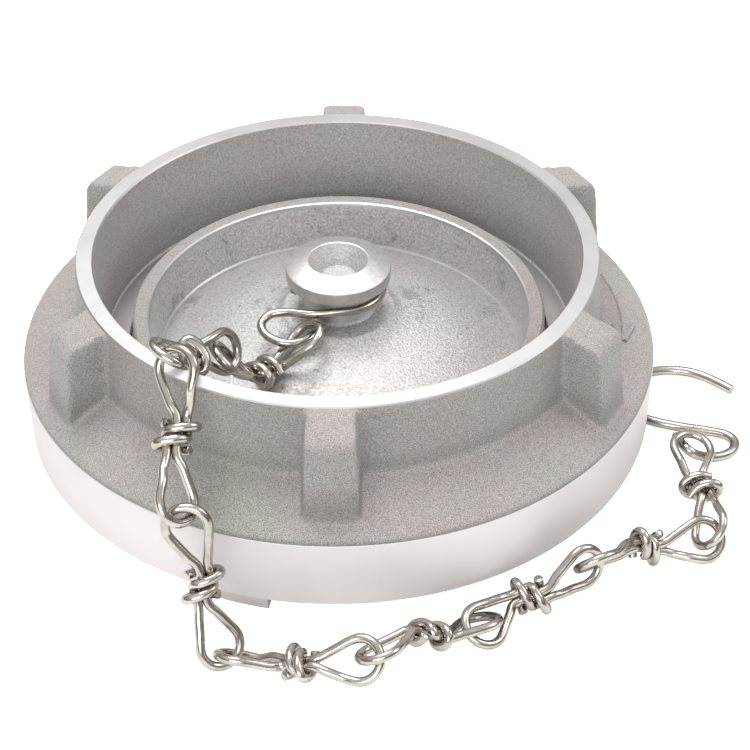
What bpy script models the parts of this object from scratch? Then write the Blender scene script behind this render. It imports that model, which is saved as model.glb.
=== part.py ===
"""Blind cap for a 110 mm Storz hose coupling, with its captive chain.

The origin is the middle of the flat on the cover's mating side, +Z points away from the hose
and a lug of the locking ring lies on -Y. Lengths below are in millimetres, angles in degrees.
"""
import math

import bpy
import bmesh
from mathutils import Matrix, Vector

MM = 0.001

# Cover plate
COVER_STEPS = 48
COVER_BODY_R = 60.0
COVER_RIM_R = COVER_BODY_R - 0.8
COVER_RIM_Z = 16.6
COVER_RIM_WIDTH = 6.9
SHOULDER_WIDTH = 2.5
SHOULDER_R = COVER_BODY_R + SHOULDER_WIDTH
SHOULDER_Z = -6.8
DISH_R = COVER_RIM_R - COVER_RIM_WIDTH
DISH_Z = 2.4
PEDESTAL_R = 16.6
PEDESTAL_Z = 16.4
NECK_R = 10.0
HEAD_R = 14.9
HEAD_LOW_Z = 26.6
HEAD_EDGE_Z = 30.1
HEAD_TOP_Z = 32.6
HUB_BORE_R = 8.4
HUB_BORE_FLOOR_R = 5.0
SEAL_LIP = 2.8
SEAL_WIDTH = 7.2
SEAL_GROOVE_OUTER_R = COVER_BODY_R - SEAL_LIP
SEAL_GROOVE_INNER_R = SEAL_GROOVE_OUTER_R - SEAL_WIDTH
SEAL_GROOVE_Z = -4.0

# Locking ring, built outwards from the cover that turns in it
RING_STEPS = 72
RUNNING_GAP = 0.4
BORE_R = COVER_BODY_R + RUNNING_GAP
LEDGE_WIDTH = 7.9
LEDGE_Z = 8.3
COLLAR_WALL = 5.1
COLLAR_INNER_R = BORE_R + LEDGE_WIDTH
COLLAR_OUTER_R = COLLAR_INNER_R + COLLAR_WALL
COLLAR_FOOT_R = COLLAR_OUTER_R + 1.6
COLLAR_TOP_Z = 37.7
CAM_INNER_R = SHOULDER_R + RUNNING_GAP
CAM_WALL = 3.1
UNDERCUT_R = CAM_INNER_R + CAM_WALL
CAM_DEPTH = 9.0
CAM_OUTER_R = UNDERCUT_R + CAM_DEPTH
CAM_BACK_Z = -4.5
SEAL_PLANE_Z = -10.0
WEB_Z = 3.0

# Claws, notches and ramps of the coupling
CLAW_COUNT = 2
CLAW_START = -101.6
CLAW_FLAT = 8.5
CLAW_SLOPE = 8.5
CLAW_TRACK = 4.0
CLAW_WALL = 7.0
CLAW_REACH = 12.5
CLAW_INNER_R = CAM_OUTER_R + CLAW_TRACK
CLAW_OUTER_R = CLAW_INNER_R + CLAW_WALL
CLAW_LIP_R = CLAW_INNER_R - CLAW_REACH
CLAW_BOTTOM_Z = -22.0
CLAW_LIP_TOP_Z = -17.0
NOTCH_ANGLE = 26.0
NOTCH_OFFSET = 55.0
RAMP_ANGLE = 75.0
RAMP_RISE = 1.2

# Flange and skirt outside the claws
SKIRT_WALL = 4.0
SKIRT_INNER_R = CLAW_OUTER_R + 1.0
FLANGE_R = SKIRT_INNER_R + SKIRT_WALL
FLANGE_Z = 8.0
BAND_BOTTOM_Z = -13.9

# Spanner lugs
LUG_COUNT = 6
LUG_REACH = 10.6
LUG_FACE_TOP_R = COLLAR_OUTER_R + LUG_REACH
LUG_FACE_FOOT_R = LUG_FACE_TOP_R + 2.2
LUG_FACE_TOP_Z = 33.8
LUG_TOP_Z = 37.2
LUG_FOOT_HALF = 6.9
LUG_TOP_HALF = 5.2
LUG_EDGE = 0.9

# Groove of the retaining ring, in the cover and in the locking ring
GROOVE_DEPTH = 1.6
GROOVE_LOW_Z = 2.7
GROOVE_HIGH_Z = 6.3
GROOVE_COVER_R = COVER_BODY_R - GROOVE_DEPTH
GROOVE_RING_R = BORE_R + GROOVE_DEPTH
RETAINER_R = (GROOVE_COVER_R + GROOVE_RING_R) / 2
RETAINER_WIRE_R = 1.5
RETAINER_GAP = 6.0

# Chain
WIRE_R = 1.25
WIRE_SIDES = 7
LINK_HALF = 22.0
LOOP_HALF_WIDTH = 5.4
STRAND_GAP = 2.6
WAIST_X = 5.0
KNOT_START_X = 1.5
KNOT_TURN = 375.0
KNOT_PITCH = 2.75
TWIST_LENGTH = 7.0

# Lay of the links: knot centre x, y, z, then heading, climb and roll of the link,
# then the twist between its loops and the upward bend of the rear and the front loop.
LINK_LAY = (
    (-20.0, -29.9, 15.2, -139, 19, -178, -35, -49, -32),
    (-36.2, -49.5, 35.7, -90, 47, 118, 54, -40, 23),
    (-38.3, -77.7, 32.2, -87, -36, -6, -74, 18, -2),
    (-32.0, -97.8, 0.3, -59, -62, 14, -31, 11, 0),
    (-7.9, -109.5, -15.1, -13, 29, 1, 80, 31, -17),
    (24.8, -101.8, -12.8, 22, -33, -37, 4, -34, 27),
    (51.9, -84.0, -16.9, 18, 18, 55, 45, 34, -19),
    (84.0, -67.0, -15.0, 21, -6, 85, -80, 11, 8),
    (102.1, -42.1, -16.1, 85, -12, 157, 61, 18, -23),
)

# Hook round the neck, with the stations of its eye
NECK_HOOK_R = NECK_R + 2.6
NECK_HOOK_Z = 23.2
NECK_HOOK_WIRE_R = 1.25
NECK_HOOK_EYE = (
    (-4.6, -12.9, 22.8), (-9.4, -12.2, 22.2), (-14.2, -10.6, 21.6), (-19.1, -10.9, 20.9),
    (-21.4, -14.4, 20.0), (-19.5, -18.5, 19.1), (-14.6, -21.0, 18.4), (-9.5, -19.5, 18.1),
    (-5.6, -15.2, 18.1), (-4.0, -12.2, 18.2),
)

# Hook at the chain's end, from the short end of its eye to its tip
END_HOOK_WIRE_R = 1.45
END_HOOK_LAY = (
    (98.7, -16.2, -18.8), (100.5, -23.3, -17.3), (104.0, -24.4, -19.1), (109.4, -24.2, -19.9),
    (114.1, -21.6, -20.2), (115.9, -17.5, -20.2), (113.8, -13.9, -20.2), (107.9, -11.9, -20.2),
    (101.1, -10.3, -20.2), (92.8, -7.5, -20.2), (87.3, -3.8, -20.2), (84.2, 1.5, -20.2),
    (84.2, 6.8, -20.2), (87.4, 11.7, -20.2), (93.3, 15.5, -20.2), (98.7, 17.0, -20.2),
    (104.9, 16.8, -20.2), (110.1, 14.8, -20.2), (114.6, 11.4, -20.2), (118.8, 7.4, -20.2),
)


def make_object(name, verts, faces):
    """Turn millimetre vertices and faces into an object with outward normals."""
    mesh = bpy.data.meshes.new(name)
    mesh.from_pydata([(x * MM, y * MM, z * MM) for x, y, z in verts], [], faces)
    work = bmesh.new()
    work.from_mesh(mesh)
    bmesh.ops.recalc_face_normals(work, faces=work.faces)
    work.to_mesh(mesh)
    work.free()
    obj = bpy.data.objects.new(name, mesh)
    return obj


def revolve(name, profile, steps):
    """Revolve a closed outline of (radius, z) points; points on the axis become one vertex."""
    verts = []
    rings = []
    for radius, z in profile:
        if radius == 0:
            rings.append([len(verts)] * steps)
            verts.append((0, 0, z))
            continue
        rings.append(range(len(verts), len(verts) + steps))
        for step in range(steps):
            angle = 2 * math.pi * step / steps
            verts.append((radius * math.cos(angle), radius * math.sin(angle), z))
    faces = []
    for low, high in zip(rings, rings[1:] + rings[:1]):
        for step in range(steps):
            after = (step + 1) % steps
            corners = [low[step], low[after], high[after], high[step]]
            face = [c for n, c in enumerate(corners) if c not in corners[:n]]
            if len(face) > 2:
                faces.append(face)
    return make_object(name, verts, faces)


def sector(name, sections):
    """Join outlines of (radius, z) points, one at each angle, into a solid part of a ring."""
    verts = []
    size = len(sections[0][1])
    for degrees, outline in sections:
        angle = math.radians(degrees)
        verts += [(r * math.cos(angle), r * math.sin(angle), z) for r, z in outline]
    faces = [list(range(size)), list(range(len(verts) - size, len(verts)))]
    for start in range(0, len(verts) - size, size):
        for n in range(size):
            m = (n + 1) % size
            faces.append([start + n, start + m, start + size + m, start + size + n])
    return make_object(name, verts, faces)


def tube(name, points, radius, sides, closed=False):
    """Sweep a round wire along the points."""
    centres = [Vector(p) for p in points]
    count = len(centres)
    verts = []
    side = None
    for n, centre in enumerate(centres):
        before = centres[n - 1] if closed or n else centre
        after = centres[(n + 1) % count] if closed or n < count - 1 else centre
        along = (after - before).normalized()
        side = side or along.orthogonal()
        side = (side - along * side.dot(along)).normalized()
        other = along.cross(side)
        for k in range(sides):
            angle = 2 * math.pi * k / sides
            verts.append(centre + (side * math.cos(angle) + other * math.sin(angle)) * radius)
    faces = []
    for n in range(count if closed else count - 1):
        near = n * sides
        far = (n + 1) % count * sides
        for k in range(sides):
            m = (k + 1) % sides
            faces.append([near + k, near + m, far + m, far + k])
    if not closed:
        faces.append(list(range(sides)))
        faces.append(list(range((count - 1) * sides, count * sides)))
    return make_object(name, verts, faces)


def combine(body, tool, operation, cutters):
    """Apply an exact boolean and keep the tool in the collection of cutters."""
    cutters.objects.link(tool)
    tool.hide_render = True
    tool.display_type = 'WIRE'
    modifier = body.modifiers.new(tool.name, 'BOOLEAN')
    modifier.operation = operation
    modifier.solver = 'EXACT'
    modifier.object = tool


def ring_outline():
    """Outline of the locking ring, from the rim down the outside and back up the bore."""
    top = COLLAR_TOP_Z
    foot = COLLAR_FOOT_R
    cam = CAM_OUTER_R
    return [
        (COLLAR_INNER_R + 0.5, top),
        (COLLAR_OUTER_R - 0.5, top),
        (COLLAR_OUTER_R, top - 0.5),
        (COLLAR_OUTER_R + 0.4, 29.0),
        (foot, 22.0),
        (foot + 0.6, 20.2),
        (foot + 1.7, 19.0),
        (foot + 3.0, 18.1),
        (FLANGE_R - 0.6, FLANGE_Z + 0.45),
        (FLANGE_R, FLANGE_Z - 0.3),
        (FLANGE_R, BAND_BOTTOM_Z + 0.7),
        (FLANGE_R - 0.7, BAND_BOTTOM_Z),
        (SKIRT_INNER_R, BAND_BOTTOM_Z),
        (SKIRT_INNER_R, WEB_Z - 1.5),
        (SKIRT_INNER_R - 1.5, WEB_Z),
        (UNDERCUT_R, WEB_Z),
        (UNDERCUT_R, CAM_BACK_Z),
        (cam - 0.6, CAM_BACK_Z),
        (cam, CAM_BACK_Z - 0.6),
        (cam, SEAL_PLANE_Z + 0.6),
        (cam - 0.6, SEAL_PLANE_Z),
        (CAM_INNER_R + 0.5, SEAL_PLANE_Z),
        (CAM_INNER_R, SEAL_PLANE_Z + 0.5),
        (CAM_INNER_R, SHOULDER_Z + 0.3),
        (BORE_R, SHOULDER_Z + 0.3),
        (BORE_R, GROOVE_LOW_Z),
        (GROOVE_RING_R, GROOVE_LOW_Z),
        (GROOVE_RING_R, GROOVE_HIGH_Z),
        (BORE_R, GROOVE_HIGH_Z),
        (BORE_R, LEDGE_Z - 0.4),
        (BORE_R + 0.4, LEDGE_Z),
        (COLLAR_INNER_R - 1.4, LEDGE_Z),
        (COLLAR_INNER_R - 0.9, LEDGE_Z + 0.5),
        (COLLAR_INNER_R, top - 0.5),
    ]


def between(first, last, part):
    """Value a given part of the way from the first to the last."""
    return first + (last - first) * part


def cover_outline():
    """Outline of the cover plate, from the hub's bore over the dish and back to the axis below."""
    pedestal = PEDESTAL_R
    return [
        (0, HEAD_LOW_Z),
        (HUB_BORE_FLOOR_R, HEAD_LOW_Z),
        (HUB_BORE_R, HEAD_TOP_Z - 0.3),
        (HUB_BORE_R + 0.5, HEAD_TOP_Z),
        (HEAD_R - 0.5, HEAD_EDGE_Z + 0.5),
        (HEAD_R, HEAD_EDGE_Z),
        (HEAD_R, HEAD_LOW_Z + 0.4),
        (HEAD_R - 0.4, HEAD_LOW_Z),
        (NECK_R, HEAD_LOW_Z),
        (NECK_R, PEDESTAL_Z + 0.6),
        (NECK_R + 0.8, PEDESTAL_Z),
        (pedestal - 1.0, PEDESTAL_Z),
        (pedestal, PEDESTAL_Z - 0.6),
        (pedestal + 1.0, PEDESTAL_Z - 1.5),
        (pedestal + 5.0, PEDESTAL_Z - 2.4),
        (between(pedestal, DISH_R, 0.375), 11.8),
        (between(pedestal, DISH_R, 0.71), 7.0),
        (DISH_R - 2.0, DISH_Z + 0.9),
        (DISH_R, DISH_Z),
        (DISH_R + 2.0, COVER_RIM_Z - 1.0),
        (DISH_R + 2.8, COVER_RIM_Z),
        (COVER_RIM_R - 0.6, COVER_RIM_Z),
        (COVER_RIM_R, COVER_RIM_Z - 0.6),
        (COVER_RIM_R, LEDGE_Z + 1.0),
        (COVER_BODY_R, LEDGE_Z),
        (COVER_BODY_R, GROOVE_HIGH_Z),
        (GROOVE_COVER_R, GROOVE_HIGH_Z),
        (GROOVE_COVER_R, GROOVE_LOW_Z),
        (COVER_BODY_R, GROOVE_LOW_Z),
        (COVER_BODY_R, SHOULDER_Z),
        (SHOULDER_R, SHOULDER_Z),
        (SHOULDER_R, SEAL_PLANE_Z + 0.4),
        (SHOULDER_R - 0.4, SEAL_PLANE_Z),
        (SEAL_GROOVE_OUTER_R, SEAL_PLANE_Z),
        (SEAL_GROOVE_OUTER_R, SEAL_GROOVE_Z),
        (SEAL_GROOVE_INNER_R, SEAL_GROOVE_Z),
        (SEAL_GROOVE_INNER_R, SEAL_PLANE_Z),
        (SEAL_GROOVE_INNER_R - 2.4, SEAL_PLANE_Z),
        (SEAL_GROOVE_INNER_R - 4.0, SEAL_PLANE_Z + 7.0),
        (between(pedestal, DISH_R, 0.375), 4.0),
        (pedestal + 3.4, 7.4),
        (pedestal + 0.4, 6.6),
        (pedestal - 1.0, 0.6),
        (pedestal - 1.6, 0.0),
        (0, 0.0),
    ]


def lug(name):
    """One drafted spanner lug, reaching into the collar wall and the flange."""
    inner = COLLAR_OUTER_R - 1.8
    low = FLANGE_Z + 1.0
    side = [
        (inner, low, LUG_FOOT_HALF),
        (LUG_FACE_FOOT_R, low, LUG_FOOT_HALF),
        (LUG_FACE_TOP_R, LUG_FACE_TOP_Z, LUG_TOP_HALF),
        (COLLAR_OUTER_R + 0.2, LUG_TOP_Z, LUG_TOP_HALF - 0.3),
        (inner, LUG_TOP_Z, LUG_TOP_HALF - 0.3),
    ]
    verts = [(x, half, z) for x, z, half in side] + [(x, -half, z) for x, z, half in side]
    count = len(side)
    faces = [list(range(count)), list(range(count, 2 * count))]
    for n in range(count):
        m = (n + 1) % count
        faces.append([n, m, count + m, count + n])
    obj = make_object(name, verts, faces)
    bevel = obj.modifiers.new('edges', 'BEVEL')
    bevel.width = LUG_EDGE * MM
    bevel.segments = 2
    bevel.limit_method = 'ANGLE'
    bevel.angle_limit = math.radians(30)
    return obj


def claw_parts(index):
    """Stem and inward lip of one claw; the stem's foot rises after the flat."""
    start = CLAW_START + 360.0 * index / CLAW_COUNT
    stem = []
    steps = 5
    for n in range(2 * steps + 1):
        angle = start - (CLAW_FLAT + CLAW_SLOPE) * n / (2 * steps)
        rise = max(0.0, (start - angle - CLAW_FLAT) / CLAW_SLOPE)
        foot = CLAW_BOTTOM_Z + (BAND_BOTTOM_Z - 0.4 - CLAW_BOTTOM_Z) * rise
        neck = BAND_BOTTOM_Z + 0.9
        stem.append((angle, [
            (CLAW_INNER_R, foot), (CLAW_OUTER_R, foot), (CLAW_OUTER_R, neck),
            (SKIRT_INNER_R + 1.0, neck), (SKIRT_INNER_R + 1.0, WEB_Z + 0.5), (CLAW_INNER_R, WEB_Z + 0.5),
        ]))
    lip = []
    for n in range(steps + 1):
        angle = start - 0.15 - (CLAW_FLAT + 1.0) * n / steps
        lip.append((angle, [
            (CLAW_LIP_R, CLAW_BOTTOM_Z + 1.2), (CLAW_LIP_R + 1.2, CLAW_BOTTOM_Z + 0.1),
            (CLAW_INNER_R + 1.0, CLAW_BOTTOM_Z + 0.1), (CLAW_INNER_R + 1.0, CLAW_LIP_TOP_Z),
            (CLAW_LIP_R, CLAW_LIP_TOP_Z),
        ]))
    return sector('claw_stem_%d' % index, stem), sector('claw_lip_%d' % index, lip)


def notch(index):
    """Cutter that lets the other coupling's claw through the cam flange."""
    middle = CLAW_START - CLAW_FLAT / 2 + NOTCH_OFFSET + 360.0 * index / CLAW_COUNT
    outline = [
        (UNDERCUT_R + 0.6, SEAL_PLANE_Z - 1.0), (CAM_OUTER_R + 1.5, SEAL_PLANE_Z - 1.0),
        (CAM_OUTER_R + 1.5, CAM_BACK_Z + 0.8), (UNDERCUT_R + 0.6, CAM_BACK_Z + 0.8),
    ]
    steps = 6
    angles = [middle + NOTCH_ANGLE * (n / steps - 0.5) for n in range(steps + 1)]
    return sector('notch_%d' % index, [(angle, outline) for angle in angles])


def ramp(index):
    """Ramp on the cam flange's back, which pulls the two couplings together as the ring turns."""
    notch_middle = CLAW_START - CLAW_FLAT / 2 + NOTCH_OFFSET + 360.0 * index / CLAW_COUNT
    start = notch_middle + NOTCH_ANGLE / 2 + 3.0
    steps = 15
    sections = []
    for n in range(steps + 1):
        top = CAM_BACK_Z + 0.1 + RAMP_RISE * n / steps
        sections.append((start + RAMP_ANGLE * n / steps, [
            (UNDERCUT_R + 1.0, CAM_BACK_Z - 1.0), (CAM_OUTER_R - 0.7, CAM_BACK_Z - 1.0),
            (CAM_OUTER_R - 0.7, top), (UNDERCUT_R + 1.0, top),
        ]))
    return sector('ramp_%d' % index, sections)


def locking_ring(cutters):
    """Cast ring with lugs outside and the claws, notches and ramps of the coupling below."""
    body = revolve('locking_ring', ring_outline(), RING_STEPS)
    for n in range(LUG_COUNT):
        piece = lug('lug_%d' % n)
        piece.matrix_world = Matrix.Rotation(math.radians(360.0 * n / LUG_COUNT - 90), 4, 'Z')
        combine(body, piece, 'UNION', cutters)
    for n in range(CLAW_COUNT):
        for piece in claw_parts(n):
            combine(body, piece, 'UNION', cutters)
        combine(body, notch(n), 'DIFFERENCE', cutters)
        combine(body, ramp(n), 'UNION', cutters)
    return body


def face_seal():
    """Rubber ring with a pressure lip on its inner side."""
    inner = SEAL_GROOVE_INNER_R + 0.3
    outer = SEAL_GROOVE_OUTER_R - 0.3
    top = SEAL_GROOVE_Z - 0.3
    bottom = SEAL_PLANE_Z - 0.6
    outline = [
        (inner, top), (outer, top), (outer, bottom + 0.6), (outer - 0.6, bottom), (inner + 0.7, bottom),
        (inner, bottom + 0.7), (inner, bottom + 2.0), (inner + 2.4, bottom + 2.8),
        (inner + 2.4, bottom + 3.5), (inner, bottom + 4.2),
    ]
    return revolve('face_seal', outline, COVER_STEPS)


def retaining_ring():
    """Open wire ring that sits half in the cover's groove and half in the locking ring's."""
    z = (GROOVE_LOW_Z + GROOVE_HIGH_Z) / 2
    steps = 60
    points = []
    for n in range(steps + 1):
        angle = math.radians(RETAINER_GAP / 2 + (360.0 - RETAINER_GAP) * n / steps)
        points.append((RETAINER_R * math.cos(angle), RETAINER_R * math.sin(angle), z))
    return tube('retaining_ring', points, RETAINER_WIRE_R, WIRE_SIDES)


def loop_points():
    """One loop of a link in its own plane, from the core strand round to the return strand."""
    middle = LINK_HALF - LOOP_HALF_WIDTH
    out_angle = math.pi - math.acos(LOOP_HALF_WIDTH / (middle - WAIST_X))
    reach = math.hypot(middle - WAIST_X, STRAND_GAP)
    back_angle = -math.pi + math.atan2(STRAND_GAP, middle - WAIST_X)
    back_angle += math.acos(LOOP_HALF_WIDTH / reach)
    steps = 10
    arc = []
    for n in range(steps + 1):
        angle = out_angle + (back_angle - out_angle) * n / steps
        arc.append((middle + LOOP_HALF_WIDTH * math.cos(angle), LOOP_HALF_WIDTH * math.sin(angle)))
    points = []
    for near, far, run in ((None, arc[0], (0.0, 0.33, 0.66)), (arc[-1], None, (0.34, 0.67, 1.0))):
        x0, y0 = near or (WAIST_X, 0.0)
        x1, y1 = far or (WAIST_X, -STRAND_GAP)
        points.append([(x0 + (x1 - x0) * t, y0 + (y1 - y0) * t) for t in run])
    return points[0] + arc + points[1]


def half_link(roll, bend):
    """Centre line from the link's middle round the front loop and once round the waist."""
    points = [Vector((0, 0, 0))]
    up = Matrix.Rotation(math.radians(-bend), 3, 'Y')
    for x, y in loop_points():
        run = min(1.0, (x - WAIST_X) / TWIST_LENGTH)
        turn = Matrix.Rotation(math.radians(roll) * run, 3, 'X')
        axis = Vector((0, -STRAND_GAP / 2 * (1 - run), 0))
        flat = turn @ (Vector((0, y, 0)) - axis) + axis
        points.append(up @ Vector((x - WAIST_X, flat.y, flat.z)) + Vector((WAIST_X, 0, 0)))
    gap = STRAND_GAP
    points.append(Vector((0.8, -gap, 0.0)))
    points.append(Vector((-0.6, -gap, 0.35)))
    steps = 12
    first = 25.0
    for n in range(steps + 1):
        degrees = first + (KNOT_TURN - first) * n / steps
        angle = math.radians(degrees)
        y = -gap * math.cos(angle)
        shift = gap * (1 - math.cos(angle)) / 2
        x = -KNOT_START_X - KNOT_PITCH * (degrees - first) / 360.0
        points.append(Vector((x, y + shift, gap * math.sin(angle))))
    return points


def link_points(lay):
    """Centre line of a knotted link at its place in the lay."""
    x, y, z, heading, climb, roll, twist, rear_bend, front_bend = lay
    front = half_link(twist / 2, front_bend)
    rear = half_link(twist / 2, rear_bend)
    half_turn = Matrix.Rotation(math.pi, 3, 'Z')
    whole = [half_turn @ p for p in reversed(rear)] + front[1:]
    pose = Matrix.Rotation(math.radians(heading), 3, 'Z')
    pose = pose @ Matrix.Rotation(math.radians(-climb), 3, 'Y')
    pose = pose @ Matrix.Rotation(math.radians(roll), 3, 'X')
    return [pose @ p + Vector((x, y, z)) for p in whole]


def smooth(stations, spacing):
    """Points on a Catmull-Rom curve through the stations."""
    path = [Vector(p) for p in stations]
    path = [path[0] * 2 - path[1]] + path + [path[-1] * 2 - path[-2]]
    points = []
    for a, b, c, d in zip(path, path[1:], path[2:], path[3:]):
        steps = max(1, round((c - b).length / spacing))
        for n in range(steps):
            t = n / steps
            bend = (a * 2 - b * 5 + c * 4 - d) * t * t + (b * 3 - a - c * 3 + d) * t ** 3
            points.append((b * 2 + (c - a) * t + bend) / 2)
    points.append(path[-2])
    return points


def neck_hook():
    """Wire hook: most of a turn round the neck, then an eye for the first link."""
    stations = []
    steps = 12
    for n in range(steps + 1):
        angle = math.radians(185.0 - 275.0 * n / steps)
        height = NECK_HOOK_Z - 1.2 + 1.2 * n / steps
        stations.append((NECK_HOOK_R * math.cos(angle), NECK_HOOK_R * math.sin(angle), height))
    points = smooth(stations + list(NECK_HOOK_EYE), 2.5)
    return tube('neck_hook', points, NECK_HOOK_WIRE_R, WIRE_SIDES)


def end_hook():
    """S-shaped wire hook with a small closed eye and a wide open end."""
    return tube('end_hook', smooth(END_HOOK_LAY, 3.0), END_HOOK_WIRE_R, WIRE_SIDES)


def finish_node(obj, material, home):
    """Give a node its material and put it into the part's collection."""
    obj.data.materials.append(material)
    home.objects.link(obj)


def surface(name, colour, metallic, roughness):
    """A Principled material of one node."""
    material = bpy.data.materials.new(name)
    material.use_nodes = True
    shader = material.node_tree.nodes['Principled BSDF']
    shader.inputs['Base Color'].default_value = colour + (1.0,)
    shader.inputs['Metallic'].default_value = metallic
    shader.inputs['Roughness'].default_value = roughness
    material.diffuse_color = colour + (1.0,)
    return material


def main():
    for obj in list(bpy.data.objects):
        bpy.data.objects.remove(obj, do_unlink=True)
    home = bpy.data.collections.new('storz_blind_cap')
    cutters = bpy.data.collections.new('cutters')
    bpy.context.scene.collection.children.link(home)
    bpy.context.scene.collection.children.link(cutters)
    cast = (0.55, 0.55, 0.55)
    wire = (0.62, 0.60, 0.57)
    nodes = [
        (locking_ring(cutters), surface('ring_cast', cast, 0.9, 0.5)),
        (revolve('cover_plate', cover_outline(), COVER_STEPS), surface('cover_cast', cast, 0.9, 0.45)),
        (face_seal(), surface('seal_rubber', (0.03, 0.03, 0.03), 0.0, 0.7)),
        (retaining_ring(), surface('retainer_steel', wire, 1.0, 0.3)),
        (neck_hook(), surface('neck_hook_steel', wire, 1.0, 0.3)),
    ]
    for n, lay in enumerate(LINK_LAY):
        name = 'chain_link_%02d' % (n + 1)
        body = tube(name, link_points(lay), WIRE_R, WIRE_SIDES)
        nodes.append((body, surface(name + '_steel', wire, 1.0, 0.3)))
    nodes.append((end_hook(), surface('end_hook_steel', wire, 1.0, 0.3)))
    for obj, material in nodes:
        finish_node(obj, material, home)


main()
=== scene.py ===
import math

import bmesh
import bpy
from mathutils import Matrix, Vector


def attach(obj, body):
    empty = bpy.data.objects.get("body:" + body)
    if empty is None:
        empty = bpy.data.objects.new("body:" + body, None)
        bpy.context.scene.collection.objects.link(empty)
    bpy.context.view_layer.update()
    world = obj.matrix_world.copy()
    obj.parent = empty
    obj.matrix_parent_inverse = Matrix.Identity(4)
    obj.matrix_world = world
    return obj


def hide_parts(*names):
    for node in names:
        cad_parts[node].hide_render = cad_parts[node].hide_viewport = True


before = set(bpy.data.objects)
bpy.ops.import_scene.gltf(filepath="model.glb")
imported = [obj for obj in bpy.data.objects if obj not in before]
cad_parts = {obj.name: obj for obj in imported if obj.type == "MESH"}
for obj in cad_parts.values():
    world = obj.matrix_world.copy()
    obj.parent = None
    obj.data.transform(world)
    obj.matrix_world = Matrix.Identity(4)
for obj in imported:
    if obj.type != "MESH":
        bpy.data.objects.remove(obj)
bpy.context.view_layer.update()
MM = 0.001

# Camera, fitted to the photo: place in millimetres, right, up and forward directions
CAMERA_PLACE = (13.74, -414.16, 314.08)
CAMERA_RIGHT = (0.99965, -0.026406, -0.0017642)
CAMERA_UP = (0.017633, 0.614867, 0.788434)
CAMERA_FORWARD = (0.0197346, 0.788188, -0.615117)
CAMERA_TURN = 1.9
CAMERA_LENS = 84.84
SENSOR_WIDTH = 36.0
CLIP_START = 0.01

# All sizes are in millimetres and degrees, in the frame of the part
GROUND_Z = -22.0
RING_STEPS = 256
CREASE = 25.0
CUT_CREASE = 30.0
WIRE_CREASE = 40.0

# Cover
COVER_BODY_R = 60.0
COVER_RIM_R = COVER_BODY_R - 0.8
COVER_RIM_Z = 16.6
SHOULDER_R = COVER_BODY_R + 2.5
SHOULDER_Z = -6.8
SEAL_OUTER_R = COVER_BODY_R - 2.8
SEAL_INNER_R = SEAL_OUTER_R - 7.2
SEAL_GROOVE_Z = -4.0
PEDESTAL_Z = 16.4
NECK_R = 10.0
HEAD_R = 14.9
HEAD_LOW_Z = 26.6
HEAD_TOP_Z = 32.5

# Locking ring
RUNNING_GAP = 0.4
RING_BORE_R = COVER_BODY_R + RUNNING_GAP
CAM_INNER_R = SHOULDER_R + RUNNING_GAP
CAM_OUTER_R = 75.0
CAM_BACK_Z = -4.5
WEB_Z = 3.0
COLLAR_TOP_Z = 37.7
COLLAR_OUTER_R = 73.3
COLLAR_BORE_R = 68.3
RIM_EDGE = 0.35
SKIN_INNER_R = 70.0
SKIN_LOW_Z = 5.0
CONE_TOP_R = 77.2
CONE_TOP_Z = 15.9
CONE_SLOPE = 0.5
FLANGE_R = 91.0
FLANGE_EDGE_Z = 6.9
BAND_LOW_Z = -13.1
BAND_BOTTOM_Z = -13.9
SKIRT_INNER_R = 87.0
SEAL_PLANE_Z = -10.0
LEDGE_Z = 8.3
GROOVE_DEPTH = 1.6
GROOVE_LOW_Z = 2.7
GROOVE_HIGH_Z = 6.3
GROOVE_COVER_R = COVER_BODY_R - GROOVE_DEPTH
GROOVE_RING_R = RING_BORE_R + GROOVE_DEPTH
LUG_COUNT = 6
LUG_INNER_R = 70.5
LUG_FOOT_Z = 8.0
LUG_TOP_Z = 37.3
SKIN_VOXEL = 0.5
SKIN_ROUNDS = 6
LUG_ROUNDS = 50
SOFT_HALF_WIDTH = 13.0
SOFT_INNER_R = 73.0
SOFT_OUTER_R = 89.3
SOFT_TOP_Z = 36.9

# Claws
CLAW_COUNT = 2
CLAW_START = -101.6
CLAW_ANGLE = 17.0
CLAW_FLAT = 8.5
CLAW_STEPS = 16
CLAW_BOTTOM_Z = -22.0
CLAW_RUN_OUT_Z = -14.3
CLAW_INNER_R = 79.0
CLAW_OUTER_R = 86.0
CLAW_LIP_R = 66.5
CLAW_LIP_TOP_Z = -17.0
CLAW_LIP_ANGLE = 9.5

# Arrow, as places on the cone: radius and direction
ARROW_R = 0.75
ARROW_SHAFT = ((79.8, 13.2), (80.8, 8.0), (81.3, 4.6), (81.6, 0.6), (81.8, -3.1), (82.1, -9.0))
ARROW_BARBS = ((78.7, -5.5), (84.8, -2.6))
ARROW_LIFT = 0.1

# Chain, as in the part's source but with its knots wound tighter and ended by a straight stub
WIRE_R = 1.25
END_HOOK_WIRE_R = 1.45
WIRE_SIDES = 16
WIRE_END = 0.12
WIRE_END_SHARE = 0.86
LINK_HALF = 22.0
LOOP_HALF_WIDTH = 5.4
STRAND_GAP = 2.6
WAIST_X = 5.0
KNOT_START_X = 1.1
KNOT_TURN = 330.0
KNOT_PITCH = 2.75
KNOT_END = 1.6
KNOT_BEGIN = 25.0
KNOT_LEAD_IN = ((0.8, 0.0), (-0.6, 0.35))
KNOT_STEPS = 12
LOOP_STEPS = 10
TWIST_LENGTH = 7.0
LINK_SPACING = 0.7
HOOK_SPACING = 0.8
ARROW_SPACING = 0.6
NECK_HOOK_R = NECK_R + 2.6
NECK_HOOK_Z = 22.0
NECK_HOOK_RISE = 1.2
NECK_HOOK_START = 185.0
NECK_HOOK_SWEEP = 275.0
NECK_HOOK_STEPS = 12
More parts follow.
